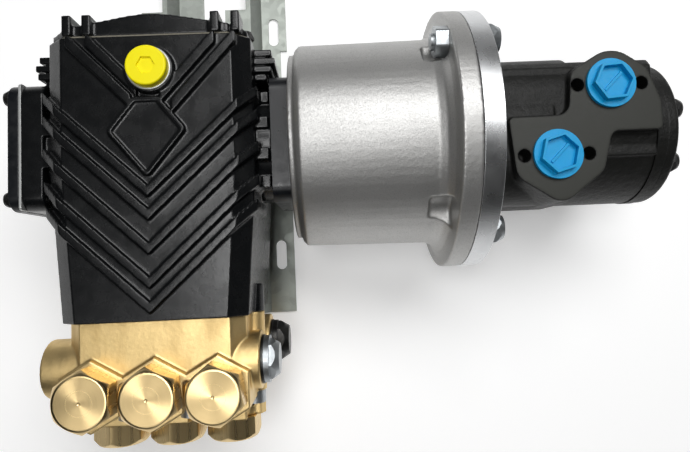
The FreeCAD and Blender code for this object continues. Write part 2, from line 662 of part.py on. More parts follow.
def discharge_valve_caps():
    extra = rod_z(12.1, -17.5, -5)
    return group([moved(join(turned(valve_cap(), Z_DIR, 4 * i - 4), extra), x, VALVE_Y, BOSS_TOP)
                  for i, x in enumerate(CYLINDERS)])


def cap_o_rings():
    rings = []
    for x in CYLINDERS:
        rings.append(Part.makeTorus(11.3, 0.85, V(x, SUCTION_FACE - O_RING_DEPTH, 0), Y_DIR))
        rings.append(Part.makeTorus(11.3, 0.85, V(x, VALVE_Y, BOSS_TOP + O_RING_DEPTH), Z_DIR))
    return group(rings)


def port_plug(thread_r, flats, height, y, z, turn):
    """Blanking plug with a collar on its washer."""
    collar_start = PORT_RIGHT + WASHER
    collar = rod_x(PLUG_COLLAR_R, collar_start, collar_start + PLUG_COLLAR, y, z)
    base = V(collar_start + PLUG_COLLAR, y, z)
    head = hex_bolt(flats, height, thread_r - 0.1, PLUG_COLLAR + 12.0, base, X_DIR, turn)
    return join(head, collar)


def outlet_port_plug():
    """Blanking plug of the right-hand outlet."""
    return port_plug(OUTLET_R, 22.0, 6.0, OUTLET_Y, OUTLET_Z, 12)


def inlet_port_plug():
    """Blanking plug of the right-hand inlet."""
    return port_plug(INLET_R, 24.0, 8.0, INLET_Y, INLET_Z, 20)


def port_plug_washers():
    end = PORT_RIGHT + WASHER
    return group([tube(rod_x, PLUG_COLLAR_R + 0.5, OUTLET_R, PORT_RIGHT, end, OUTLET_Y, OUTLET_Z),
                  tube(rod_x, PLUG_COLLAR_R + 0.5, INLET_R, PORT_RIGHT, end, INLET_Y, INLET_Z)])


# ---------------------------------------------------------------- bell housing and motor
def flange_bolt_places(angles=FLANGE_BOLT_ANGLES):
    """Bolts of the bell housing flange, as (y, z)."""
    r = FLANGE_BOLT_CIRCLE
    return [(r * math.sin(math.radians(a)), r * math.cos(math.radians(a))) for a in angles]


def revolve_x(points):
    """Turn a closed (x, radius) outline about the crankshaft axis."""
    corners = [V(x, 0, r) for x, r in points]
    return Part.Face(Part.makePolygon(corners + corners[:1])).revolve(V(0, 0, 0), X_DIR, 360)


def bell_housing():
    """Cast bell between the pump's bearing flange and the motor ring."""
    flange_start = BELL_END - FLANGE_THICK
    outer = revolve_x([(BELL_START - 4, 30), (BELL_START - 4, 62), (BELL_START, 62),
                       (BELL_START, BELL_R - 3), (BELL_START + 3, BELL_R),
                       (flange_start - 9, BELL_ROOT_R), (flange_start - 4, BELL_ROOT_R + 2.2),
                       (flange_start - 1, BELL_ROOT_R + 6), (flange_start, BELL_ROOT_R + 10),
                       (flange_start, RING_R), (BELL_END, RING_R), (BELL_END, 30)])
    inner = revolve_x([(BELL_START + BELL_WALL, 0), (BELL_START + BELL_WALL, 58),
                       (BELL_START + BELL_WALL + 3, 60.5), (BELL_END + 1, 61), (BELL_END + 1, 0)])
    tools = [inner, rod_x(33.1, BELL_START - 5, BELL_START + BELL_WALL + 1)]
    for y, z in flange_bolt_places(NUT_ANGLES):
        tools.append(rod_x(5.2, flange_start - 1, BELL_END + 1, y, z))
    for y, z in flange_bolt_places(STUD_ANGLES):
        tools.append(rod_x(5.0, BELL_END - STUD_DEPTH - 1, BELL_END + 1, y, z))
    for y, z in flange_bolt_places(NUT_ANGLES + POCKET_ANGLES):
        tools.append(rod_x(SPOT_FACE_R, flange_start - 14, flange_start, y, z))
    for y, z in square_places(PILOT_HOLE):
        tools.append(rod_x(3.3, BELL_START - 5, BELL_START + BELL_WALL + 1, y, z))
    window = rod_z(15.0, -RING_R, -40, 150.0, 0.0)
    return drill(outer, window, *tools)


def bell_screws():
    """Socket screws inside the bell that hold it on the pump's bearing flange."""
    return [socket_bolt(5.0, 6.0, 3.0, 20.0, V(BELL_START + BELL_WALL, y, z), X_DIR)
            for y, z in square_places(PILOT_HOLE)]


def adapter_ring():
    plate = tube(rod_x, RING_R, 30.0, BELL_END, RING_END)
    pilot = tube(rod_x, 60.9, 52.0, BELL_END - 4, BELL_END + 1)
    tools = [rod_x(5.2, BELL_END - 1, RING_END + 1, y, z) for y, z in flange_bolt_places()]
    for y, z in motor_screw_places():
        tools.append(rod_x(5.2, BELL_END - 5, RING_END + 1, y, z))
        tools.append(rod_x(8.6, BELL_END - 5, BELL_END + 4, y, z))
    return drill(join(plate, pilot), *tools)


def motor_screw_places():
    """Screws that hold the motor on the ring, as (y, z)."""
    return [(sy * 28.5, sz * 28.5) for sy in (-1, 1) for sz in (-1, 1)]


def flange_bolts():
    """Hexagon bolts of the flange, and the socket screws hidden inside the bell."""
    ring = RING_END - BELL_END
    bolts = []
    for angles, length in ((NUT_ANGLES, ring + FLANGE_THICK + FLANGE_NUT + 2.0),
                           (STUD_ANGLES, ring + STUD_DEPTH)):
        for y, z in flange_bolt_places(angles):
            bolts.append(hex_bolt(17.0, 7.0, 5.0, length, V(RING_END, y, z), X_DIR, 10))
    for y, z in motor_screw_places():
        bolts.append(socket_bolt(7.5, 8.0, 5.0, 24.0, V(BELL_END + 4, y, z), -X_DIR))
    return group(bolts + bell_screws())


def flange_nuts():
    nuts = []
    for y, z in flange_bolt_places(NUT_ANGLES):
        base = V(BELL_END - FLANGE_THICK, y, z)
        rounding = rod_x(9.3, base.x - FLANGE_NUT - 1, base.x + 1, y, z)
        nut = hexagon(17.0, FLANGE_NUT, base, -X_DIR, 25).common(rounding)
        nuts.append(nut.cut(rod_x(5.0, base.x - FLANGE_NUT - 2, base.x + 1, y, z)))
    return group(nuts)


def port_plate():
    """Flat S-shaped face that carries both ports."""
    outline = [(217, 2.5, 3.0), (254, 3.0, 8.0), (257, 30, 9.0), (283, 45, 18.0), (304, 31, 14.0),
               (311.5, 10, 12.0), (311.5, -8, 3.0), (280, -8, 6.0), (273.5, -32, 13.0),
               (247, -52, 12.0), (220, -34, 12.0)]
    return rounded_prism(outline, 20, PORT_FACE - 20)


def motor_body():
    """Cast housing: square mounting end, round rear and the raised port plate."""
    front = rounded_square_x(96.0, 30.0, RING_END, 262)
    waist = rod_x(49.5, RING_END, RING_END + 42)
    rear = rod_x(MOTOR_R, 250, MOTOR_END)
    lug = box(217, MOTOR_END, -22, 40, 20, 45)
    body = join(front, waist, rear, port_plate(), lug.common(rod_x(57.0, 210, MOTOR_END)))
    tools = [rod_x(16.0, RING_END - 1, MOTOR_END + 1), rod_x(30.0, 270, MOTOR_END + 1)]
    for port in (PORT_A, PORT_B):
        tools.append(rod_z(10.4, PORT_FACE - 18, PORT_FACE + 1, port.x, port.y))
        for side in (-1, 1):
            x = port.x + side * PORT_SCREW_SPACING / 2
            tools.append(rod_z(3.9, PORT_FACE - 13, PORT_FACE + 1, x, port.y))
    for y, z in motor_screw_places():
        tools.append(rod_x(5.0, RING_END - 1, RING_END + 16, y, z))
    for y, z in end_bolt_places():
        tools.append(rod_x(4.0, MOTOR_END - 20, MOTOR_END + 1, y, z))
    return drill(body, *tools)


def end_bolt_places():
    """Screws of the motor's end cover, as (y, z)."""
    step = 360.0 / END_BOLT_COUNT
    return [(END_BOLT_CIRCLE * math.sin(math.radians(12 + step * i)),
             END_BOLT_CIRCLE * math.cos(math.radians(12 + step * i))) for i in range(END_BOLT_COUNT)]


def lobed_prism(radius, depth, lobes, x0, x1):
    """A rounded star, the profile of gerotor parts."""
    steps = lobes * 8
    points = []
    for i in range(steps):
        angle = 2 * math.pi * i / steps
        r = radius + depth * math.cos(lobes * angle)
        points.append(V(x0, r * math.cos(angle), r * math.sin(angle)))
    curve = Part.BSplineCurve()
    curve.interpolate(points, True)
    return Part.Face(Part.Wire(curve.toShape())).extrude(V(x1 - x0, 0, 0))


def gerotor_ring():
    ring = rod_x(MOTOR_R + 0.5, MOTOR_END, GEROTOR_END)
    holes = [rod_x(4.2, MOTOR_END - 1, GEROTOR_END + 1, y, z) for y, z in end_bolt_places()]
    return drill(ring, lobed_prism(28.0, 2.2, 7, MOTOR_END - 1, GEROTOR_END + 1), *holes)


def gerotor_rotor():
    return lobed_prism(22.6, 2.2, 6, MOTOR_END + 0.3, GEROTOR_END - 0.3).cut(
        rod_x(10.0, MOTOR_END, GEROTOR_END))


def motor_end_cover():
    disc = rod_x(MOTOR_R, GEROTOR_END, COVER_END)
    disc = disc.makeFillet(3.0, [e for e in disc.Edges if e.BoundBox.XMin > COVER_END - 0.1])
    holes = [rod_x(4.2, GEROTOR_END - 1, COVER_END + 1, y, z) for y, z in end_bolt_places()]
    return drill(disc, *holes)


def end_cover_bolts():
    return group([hex_bolt(13.0, 5.5, 4.0, 34.0, V(COVER_END, y, z), X_DIR, 15)
                  for y, z in end_bolt_places()])


def motor_shaft():
    """Motor output shaft and the drive link to the rotor."""
    pieces = [rod_x(14.0, 150, RING_END + 10), rod_x(15.6, RING_END + 9, 262),
              rod_x(9.9, 261, GEROTOR_END - 0.4)]
    return join(pieces[0], *pieces[1:])


def shaft_coupling():
    """Rigid sleeve with a flange, keyed on both shafts."""
    sleeve = join(rod_x(24.0, 104, 186), rod_x(30.0, 138, 152))
    tools = [rod_x(14.0, 103, 187), rod_z(3.0, 20, 32, 145, 0)]
    keyed = drill(sleeve, *tools)
    return join(keyed, box(109, 131, -4, 4, 12.5, 15))


def motor_port_plugs():
    """Plastic transport plugs with a recessed hexagon and a bar across it."""
    plugs = []
    for port, turn in ((PORT_A, 16), (PORT_B, 4)):
        base = V(port.x, port.y, PORT_FACE)
        flange = rod_z(15.0, PORT_FACE, PORT_FACE + 2.5, port.x, port.y)
        tower = hexagon(21.5, PLUG_TOWER, base, Z_DIR, turn)
        recess = hexagon(18.3, 5.0, base + V(0, 0, 3.2), Z_DIR, turn)
        bar = turned(box(-7.6, 7.6, -0.8, 0.8, 3.0, 4.6), Z_DIR, 45)
        stem = rod_z(10.0, PORT_FACE - 12, PORT_FACE + 0.5, port.x, port.y)
        plug = join(flange, tower, stem).cut(recess)
        plugs.append(join(plug, moved(bar, port.x, port.y, PORT_FACE)))
    return group(plugs)


# ---------------------------------------------------------------- base
def rail(left):
    """Joggled sheet rail: a raised strip for the pump's feet and a strip on the floor."""
    low, high, t = FLOOR, FLOOR + RAIL_STEP, RAIL_THICK
    bend = left + RAIL_FLAT
    foot = bend + RAIL_WEB
    end = foot + RAIL_FOOT
    profile = [V(left, 0, high), V(bend, 0, high), V(foot, 0, low), V(end, 0, low),
               V(end, 0, low + t), V(foot + 0.9, 0, low + t), V(bend + 0.9, 0, high + t),
               V(left, 0, high + t)]
    strip = Part.Face(Part.makePolygon(profile + profile[:1]))
    strip.translate(V(0, RAIL_FRONT, 0))
    bar = strip.extrude(V(0, RAIL_BACK - RAIL_FRONT, 0))
    tools = [box(left - 1, bend - 3, 137, RAIL_BACK + 1, low - 1, high + 5),
             box(left - 1, bend - 3, RAIL_FRONT - 1, RAIL_FRONT + 8, low - 1, high + 5),
             box(end - RAIL_NOTCH_DEPTH, end + 1, RAIL_NOTCH_START, RAIL_NOTCH_END, low - 1, high)]
    for y in FOOT_YS:
        tools.append(rod_z(5.2, low - 1, high + 5, left + RAIL_HOLE, y))
    for y in SLOT_YS:
        tools += slot_tools(foot + RAIL_FOOT / 2, y)
    return drill(bar, *tools)


def slot_tools(x, y):
    """Cutters of one anchor slot along Y."""
    straight = SLOT_LENGTH / 2 - SLOT_R
    cutters = [box(x - SLOT_R, x + SLOT_R, y - straight, y + straight, FLOOR - 1, FLOOR + 5)]
    for side in (-1, 1):
        cutters.append(rod_z(SLOT_R, FLOOR - 1, FLOOR + 5, x, y + side * straight))
    return cutters


def base_rails():
    return group([rail(RAIL_LEFT_EDGE), rail(RAIL_LEFT_EDGE + RAIL_PITCH)])


def foot_bolts():
    """Hexagon bolts from below through the rails into the pump's feet."""
    base_z = FLOOR + RAIL_STEP
    return group([hex_bolt(16.0, 6.4, 5.0, 20.0, V(x, y, base_z), -Z_DIR)
                  for x in FOOT_XS for y in FOOT_YS])


# ---------------------------------------------------------------- build all nodes
def main():
    os.makedirs("parts", exist_ok=True)
    nodes = [crankcase, rear_cover, left_bearing_cover, left_cover_shim, right_bearing_flange,
             bearing_cups, crank_oil_seal, plunger_oil_seals, oil_cap, drain_plug, cover_screws,
             crankshaft, bearing_cones, shaft_coupling, motor_shaft, gerotor_rotor,
             manifold, manifold_bolts, plunger_packings, valve_seats, valve_cages,
             suction_valve_caps, discharge_valve_caps, cap_o_rings, outlet_port_plug,
             inlet_port_plug, port_plug_washers, bell_housing, adapter_ring, flange_bolts,
             flange_nuts, motor_body, gerotor_ring, motor_end_cover, end_cover_bolts,
             motor_port_plugs, base_rails, foot_bolts]
    for make in nodes:
        export(make.__name__, make())
    export("rear_cover_gasket", rear_gasket())
    for i, (x, angle) in enumerate(zip(CYLINDERS, CRANK_ANGLES), start=1):
        export("con_rod_%d" % i, con_rod(x, angle))
        export("crosshead_%d" % i, crosshead(x, angle))
        export("plunger_%d" % i, plunger(x, angle))
        export("suction_poppet_%d" % i, to_suction(valve_poppet(), x))
        export("discharge_poppet_%d" % i, to_discharge(valve_poppet(), x))
        export("suction_spring_%d" % i, to_suction(valve_spring(), x))
        export("discharge_spring_%d" % i, to_discharge(valve_spring(), x))


main()
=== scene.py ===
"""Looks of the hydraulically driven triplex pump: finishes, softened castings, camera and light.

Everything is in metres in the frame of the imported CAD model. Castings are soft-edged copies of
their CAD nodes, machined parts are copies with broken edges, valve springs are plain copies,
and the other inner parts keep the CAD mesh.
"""
import json
import math

import bmesh
import bpy
from mathutils import Matrix, Vector

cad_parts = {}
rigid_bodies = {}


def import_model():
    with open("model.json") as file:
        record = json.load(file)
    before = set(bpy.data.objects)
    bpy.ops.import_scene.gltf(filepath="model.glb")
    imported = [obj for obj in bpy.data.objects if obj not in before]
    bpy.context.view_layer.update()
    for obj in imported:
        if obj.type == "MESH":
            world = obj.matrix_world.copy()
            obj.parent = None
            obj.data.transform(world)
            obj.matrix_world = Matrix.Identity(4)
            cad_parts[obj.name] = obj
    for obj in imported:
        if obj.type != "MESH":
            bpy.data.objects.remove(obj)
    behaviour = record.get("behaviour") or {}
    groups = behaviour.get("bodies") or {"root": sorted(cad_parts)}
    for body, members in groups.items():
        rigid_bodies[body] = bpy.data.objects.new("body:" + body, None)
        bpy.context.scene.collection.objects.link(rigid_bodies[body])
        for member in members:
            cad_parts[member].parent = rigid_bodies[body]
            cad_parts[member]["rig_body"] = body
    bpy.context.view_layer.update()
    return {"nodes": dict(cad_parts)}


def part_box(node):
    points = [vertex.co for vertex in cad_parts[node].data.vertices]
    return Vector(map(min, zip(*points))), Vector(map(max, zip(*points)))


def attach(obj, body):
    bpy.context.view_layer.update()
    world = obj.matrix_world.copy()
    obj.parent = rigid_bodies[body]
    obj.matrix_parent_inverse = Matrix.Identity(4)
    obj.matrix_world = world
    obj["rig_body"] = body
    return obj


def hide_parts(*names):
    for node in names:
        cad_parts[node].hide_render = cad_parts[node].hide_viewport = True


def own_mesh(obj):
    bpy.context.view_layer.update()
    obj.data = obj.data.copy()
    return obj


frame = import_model()

MM = 0.001
WELD = 0.002 * MM             # CAD faces come as separate patches that share their edges
FLAT_ANGLE = math.radians(0.6)
EDGE_ANGLE = math.radians(28)
VOXEL_FACTOR = 1.0
BEVEL_SEGMENTS = 2
NORMAL_WEIGHT = 60            # how far large faces win over the rounds between them
SMOOTHING = 0.5

CAP_HEIGHT = 14.0 * MM        # valve cap above its boss
PLUG_HEIGHT = 7.0 * MM        # blue plug above the motor's port plate
WASHER_DEPTH = 5.2 * MM       # top of the filler cap down to its washer


# ---------------------------------------------------------------- places read from the frame
def centre_of(node):
    """Middle of a node's box."""
    low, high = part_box(node)
    return (low + high) / 2


CRANK_AXIS = centre_of("adapter_ring")
MIDDLE_CYLINDER_X = centre_of("discharge_poppet_2").x
PUMP_CENTRE = Vector((MIDDLE_CYLINDER_X, CRANK_AXIS.y, CRANK_AXIS.z))
PORT_FACE_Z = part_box("motor_port_plugs")[1].z - PLUG_HEIGHT
CAP_WASHER_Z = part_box("oil_cap")[1].z - WASHER_DEPTH
BOSS_TOP_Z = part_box("discharge_valve_caps")[1].z - CAP_HEIGHT


# ---------------------------------------------------------------- material building
class Finish:
    """A Principled material while it is being put together."""

    def __init__(self, name, colour, roughness, metallic=0.0, **sockets):
        self.material = bpy.data.materials.new(name)
        self.material.use_nodes = True
        self.tree = self.material.node_tree
        self.shader = self.tree.nodes["Principled BSDF"]
        self.colour = colour
        self.shader.inputs["Base Color"].default_value = (*colour, 1)
        self.shader.inputs["Roughness"].default_value = roughness
        self.shader.inputs["Metallic"].default_value = metallic
        for socket, value in sockets.items():
            self.shader.inputs[socket.replace("_", " ")].default_value = value
        self.place = self.node("ShaderNodeTexCoord").outputs["Object"]
        self.last_normal = None

    def node(self, kind, **settings):
        made = self.tree.nodes.new(kind)
        for key, value in settings.items():
            setattr(made, key, value)
        return made

    def link(self, source, target):
        self.tree.links.new(source, target)

    def noise(self, size, detail=3.0, roughness=0.55, stretch=(1, 1, 1)):
        """Noise whose features are about size across."""
        mapping = self.node("ShaderNodeMapping")
        self.link(self.place, mapping.inputs["Vector"])
        mapping.inputs["Scale"].default_value = stretch
        made = self.node("ShaderNodeTexNoise")
        self.link(mapping.outputs["Vector"], made.inputs["Vector"])
        made.inputs["Scale"].default_value = 1.0 / size
        made.inputs["Detail"].default_value = detail
        made.inputs["Roughness"].default_value = roughness
        return made.outputs["Fac"]

    def cells(self, size, output="Distance"):
        """Voronoi cells about size across."""
        made = self.node("ShaderNodeTexVoronoi")
        self.link(self.place, made.inputs["Vector"])
        made.inputs["Scale"].default_value = 1.0 / size
        return made.outputs[output]

    def ramp(self, value, low, high, start=0.0, end=1.0):
        """Map a value from low..high to start..end."""
        made = self.node("ShaderNodeMapRange")
        self.link(value, made.inputs["Value"])
        for socket, number in zip(("From Min", "From Max", "To Min", "To Max"),
                                  (low, high, start, end)):
            made.inputs[socket].default_value = number
        return made.outputs["Result"]

    def combine(self, first, second, operation="MULTIPLY"):
        made = self.node("ShaderNodeMath", operation=operation)
        for target, source in zip(made.inputs, (first, second)):
            if isinstance(source, (int, float)):
                target.default_value = source
            else:
                self.link(source, target)
        return made.outputs["Value"]

    def height_mask(self, level, width):
        """0 below a height above the floor, 1 above it."""
        parts = self.node("ShaderNodeSeparateXYZ")
        self.link(self.place, parts.inputs["Vector"])
        return self.ramp(parts.outputs["Z"], level - width, level)

    def radius(self, centre, axes):
        """Distance from an axis through centre; axes are the two letters across it."""
        shifted = self.node("ShaderNodeVectorMath", operation="SUBTRACT")
        self.link(self.place, shifted.inputs[0])
        shifted.inputs[1].default_value = centre
        across = self.node("ShaderNodeVectorMath", operation="MULTIPLY")
        self.link(shifted.outputs["Vector"], across.inputs[0])
        across.inputs[1].default_value = [1.0 if letter in axes else 0.0 for letter in "XYZ"]
        length = self.node("ShaderNodeVectorMath", operation="LENGTH")
        self.link(across.outputs["Vector"], length.inputs[0])
        return length.outputs["Value"]

    def stripes(self, value, size):
        """Irregular lines across a distance, such as tool marks."""
        made = self.node("ShaderNodeTexNoise", noise_dimensions="1D")
        self.link(value, made.inputs["W"])
        made.inputs["Scale"].default_value = 1.0 / size
        made.inputs["Detail"].default_value = 2.0
        return made.outputs["Fac"]

    def tint(self, amount, colour):
        """Blend the colour so far towards another one by a 0..1 value."""
        made = self.node("ShaderNodeMix", data_type="RGBA")
        self.link(amount, made.inputs["Factor"])
        target = self.shader.inputs["Base Color"]
        if target.is_linked:
            self.link(target.links[0].from_socket, made.inputs["A"])
        else:
            made.inputs["A"].default_value = (*self.colour, 1)
        made.inputs["B"].default_value = (*colour, 1)
        self.link(made.outputs["Result"], target)

    def roughen(self, value):
        self.link(value, self.shader.inputs["Roughness"])

    def emboss(self, height, distance, strength=1.0):
        """Bump on top of the bumps so far; distance in metres."""
        made = self.node("ShaderNodeBump")
        made.inputs["Distance"].default_value = distance
        made.inputs["Strength"].default_value = strength
        self.link(height, made.inputs["Height"])
        if self.last_normal:
            self.link(self.last_normal, made.inputs["Normal"])
        self.last_normal = made.outputs["Normal"]
        self.link(self.last_normal, self.shader.inputs["Normal"])

    def turned(self, axis):
        """Brushed highlight around an axis through the middle of the piece."""
        made = self.node("ShaderNodeTangent", direction_type="RADIAL", axis=axis)
        self.link(made.outputs["Tangent"], self.shader.inputs["Tangent"])


# ---------------------------------------------------------------- finishes
def black_paint():
    """Gloss enamel over a rough casting."""
    finish = Finish("case_black", (0.0045, 0.0050, 0.0055), 0.27, Specular_IOR_Level=0.40)
    finish.roughen(finish.ramp(finish.noise(9 * MM), 0.35, 0.7, 0.24, 0.30))
    finish.tint(finish.ramp(finish.noise(2.5 * MM, 5), 0.55, 0.8, 0.0, 0.25), (0.011, 0.012, 0.013))
    finish.emboss(finish.noise(0.8 * MM, 2), 0.035 * MM)
    finish.emboss(finish.noise(6 * MM, 2), 0.05 * MM)
    return finish.material


def cover_paint():
    """Thinner satin paint on machined covers."""
    finish = Finish("cover_black", (0.006, 0.007, 0.009), 0.33, Specular_IOR_Level=0.4)
    finish.roughen(finish.ramp(finish.noise(6 * MM), 0.3, 0.7, 0.26, 0.42))
    finish.emboss(finish.noise(1.6 * MM, 3), 0.05 * MM)
    return finish.material


def cast_brass():
    """Sand-cast brass with fine grain, stains and smooth milled valve bosses."""
    finish = Finish("brass_cast", (0.755, 0.56, 0.262), 0.40, 1.0)
    grain = finish.noise(0.55 * MM, 4)
    stains = finish.noise(11 * MM, 5, 0.62, (1, 0.45, 1))
    milled = finish.height_mask(BOSS_TOP_Z, 0.5 * MM)
    finish.tint(finish.ramp(stains, 0.50, 0.72, 0.0, 0.42), (0.55, 0.38, 0.16))
    finish.tint(finish.ramp(grain, 0.56, 0.75, 0.0, 0.35), (0.42, 0.27, 0.10))
    finish.tint(finish.ramp(milled, 0, 1, 0, 0.3), (0.84, 0.63, 0.31))
    cast_roughness = finish.ramp(stains, 0.3, 0.7, 0.36, 0.52)
    finish.roughen(finish.combine(cast_roughness, finish.ramp(milled, 0, 1, 0, 0.04), "SUBTRACT"))
    finish.emboss(grain, 0.05 * MM)
    finish.emboss(finish.noise(2.8 * MM, 2), 0.10 * MM)
    return finish.material


def turned_brass(name, centre, axes, axis):
    """Lathe-cut brass: fine rings about the cap's own axis."""
    finish = Finish(name, (0.79, 0.595, 0.30), 0.27, 1.0, Anisotropic=0.82)
    radius = finish.radius(centre, axes)
    rings = finish.stripes(radius, 0.35 * MM)
    finish.tint(finish.ramp(rings, 0.4, 0.75, 0.0, 0.12), (0.70, 0.50, 0.22))
    finish.tint(finish.ramp(finish.noise(6 * MM, 4), 0.55, 0.75, 0, 0.25), (0.74, 0.55, 0.27))
    finish.roughen(finish.ramp(finish.stripes(radius, 1.3 * MM), 0.3, 0.7, 0.27, 0.33))
    finish.emboss(rings, 0.0012 * MM)
    finish.turned(axis)
    return finish.material


def cast_aluminium():
    """Shot-blasted aluminium casting with a sparkling grain."""
    finish = Finish("bell_cast", (0.47, 0.467, 0.457), 0.44, 0.94)
    grain = finish.noise(0.75 * MM, 4, 0.65)
    cloud = finish.noise(22 * MM, 4)
    finish.tint(finish.ramp(grain, 0.52, 0.72, 0.0, 0.6), (0.25, 0.25, 0.247))
    finish.tint(finish.ramp(cloud, 0.45, 0.75, 0.0, 0.3), (0.36, 0.357, 0.35))
    finish.roughen(finish.ramp(grain, 0.3, 0.7, 0.38, 0.56))
    finish.emboss(grain, 0.10 * MM)
    finish.emboss(finish.noise(3.2 * MM, 2), 0.12 * MM)
    return finish.material


def turned_ring():
    """Lathe-turned ring with feed marks on both faces and the rim."""
    finish = Finish("ring_turned", (0.66, 0.67, 0.68), 0.24, 1.0, Anisotropic=0.6)
    radius = finish.radius(CRANK_AXIS, "YZ")
    marks = finish.stripes(radius, 0.5 * MM)
    finish.tint(finish.ramp(marks, 0.45, 0.75, 0.0, 0.35), (0.45, 0.46, 0.47))
    finish.roughen(finish.ramp(finish.noise(14 * MM, 4), 0.3, 0.7, 0.25, 0.30))
    finish.emboss(marks, 0.008 * MM)
    finish.turned("X")
    return finish.material


def motor_paint():
    """Dark phosphated cast iron; the port plate is milled smooth."""
    finish = Finish("motor_black", (0.007, 0.0073, 0.0066), 0.5, Specular_IOR_Level=0.24)
    grain = finish.noise(0.9 * MM, 4, 0.6)
    milled = finish.height_mask(PORT_FACE_Z, 0.35 * MM)
    cast = finish.ramp(milled, 0, 1, 1, 0)
    finish.tint(finish.ramp(finish.noise(16 * MM, 4), 0.45, 0.75, 0, 0.6), (0.015, 0.0146, 0.0135))
    finish.tint(milled, (0.034, 0.035, 0.030))
    finish.roughen(finish.ramp(grain, 0.3, 0.7, 0.40, 0.55))
    finish.emboss(finish.combine(grain, cast), 0.22 * MM)
    finish.emboss(finish.combine(finish.noise(4.5 * MM, 3), cast), 0.5 * MM)
    finish.emboss(finish.noise(0.6 * MM, 2, 0.5, (0.15, 1, 1)), 0.012 * MM)
    return finish.material


def plastic(name, colour, shade, roughness):
    """Moulded plastic with faint flow marks."""
    finish = Finish(name, colour, roughness, Specular_IOR_Level=0.28, Subsurface_Weight=0.03)
    finish.tint(finish.ramp(finish.noise(7 * MM, 3), 0.5, 0.8, 0.0, 0.35), shade)
    finish.roughen(finish.ramp(finish.noise(2 * MM), 0.3, 0.7, roughness - 0.05, roughness + 0.08))
    finish.emboss(finish.noise(1.1 * MM, 2), 0.02 * MM)
    return finish.material


def plated_steel(name, colour, dark, roughness):
    """Zinc plated or blackened fastener steel."""
    finish = Finish(name, colour, roughness, 0.95)
    finish.tint(finish.ramp(finish.noise(3 * MM, 5), 0.42, 0.75, 0.0, 0.5), dark)
    finish.roughen(finish.ramp(finish.noise(1.4 * MM, 3), 0.3, 0.7, roughness - 0.07, roughness + 0.1))
    finish.emboss(finish.noise(0.5 * MM, 3), 0.012 * MM)
    return finish.material


def galvanised_sheet():
    """Hot-dip galvanised sheet with a faint spangle."""
    finish = Finish("rail_galvanised", (0.36, 0.385, 0.355), 0.50, 0.8)
    spangle = finish.cells(5 * MM, "Color")
    finish.tint(finish.ramp(spangle, 0.3, 0.9, 0.0, 0.35), (0.27, 0.29, 0.265))
    finish.tint(finish.ramp(finish.noise(30 * MM, 4), 0.45, 0.8, 0, 0.4), (0.31, 0.33, 0.30))
    finish.roughen(finish.ramp(spangle, 0.0, 1.0, 0.45, 0.58))
    finish.emboss(finish.noise(1.8 * MM, 3), 0.03 * MM)
    return finish.material


def ground_steel():
    """Ground or honed steel of the inner parts."""
    finish = Finish("steel_ground", (0.55, 0.55, 0.56), 0.22, 1.0)
    finish.roughen(finish.ramp(finish.noise(0.8 * MM, 3, 0.6, (1, 8, 1)), 0.3, 0.7, 0.16, 0.3))
    finish.emboss(finish.noise(0.4 * MM, 2), 0.004 * MM)
    return finish.material


def forged_steel():
    """Forged crankshaft steel with an oily scale."""
    finish = Finish("steel_forged", (0.20, 0.19, 0.18), 0.4, 0.9)
    finish.tint(finish.ramp(finish.noise(4 * MM, 5), 0.4, 0.7, 0, 0.7), (0.30, 0.29, 0.28))
    finish.roughen(finish.ramp(finish.noise(2 * MM, 3), 0.3, 0.7, 0.3, 0.5))
    finish.emboss(finish.noise(1.2 * MM, 3), 0.05 * MM)
    return finish.material


def rod_alloy():
    """Die-cast connecting rods."""
    finish = Finish("rod_alloy", (0.52, 0.51, 0.49), 0.42, 0.9)
    finish.tint(finish.ramp(finish.noise(3 * MM, 4), 0.45, 0.75, 0, 0.5), (0.38, 0.37, 0.36))
    finish.emboss(finish.noise(0.9 * MM, 3), 0.04 * MM)
    return finish.material


def ceramic():
    """Polished white ceramic of the plungers."""
    finish = Finish("ceramic_white", (0.86, 0.85, 0.80), 0.1, Coat_Weight=0.3)
    finish.tint(finish.ramp(finish.noise(5 * MM, 3), 0.5, 0.8, 0, 0.3), (0.80, 0.78, 0.72))
    finish.emboss(finish.noise(0.7 * MM, 2), 0.003 * MM)
    return finish.material


def rubber():
    """Black seal rubber."""
    finish = Finish("rubber_black", (0.018, 0.018, 0.018), 0.6, Specular_IOR_Level=0.35)
    finish.roughen(finish.ramp(finish.noise(1.5 * MM, 3), 0.3, 0.7, 0.5, 0.7))
    finish.emboss(finish.noise(0.5 * MM, 2), 0.01 * MM)
    return finish.material


def gasket_paper():
    """Oiled fibre gasket."""
    finish = Finish("gasket_paper", (0.16, 0.15, 0.12), 0.85)
    finish.tint(finish.ramp(finish.noise(0.8 * MM, 4), 0.4, 0.7, 0, 0.8), (0.24, 0.22, 0.17))
    finish.emboss(finish.noise(0.5 * MM, 3), 0.02 * MM)
    return finish.material


def shim_metal():
    """Bright soft shim under the left bearing cover."""
    finish = Finish("shim_grey", (0.62, 0.63, 0.62), 0.38, 0.6)
    finish.tint(finish.ramp(finish.noise(6 * MM, 4), 0.4, 0.75, 0, 0.5), (0.48, 0.49, 0.48))
    finish.emboss(finish.noise(1.0 * MM, 3), 0.02 * MM)
    return finish.material


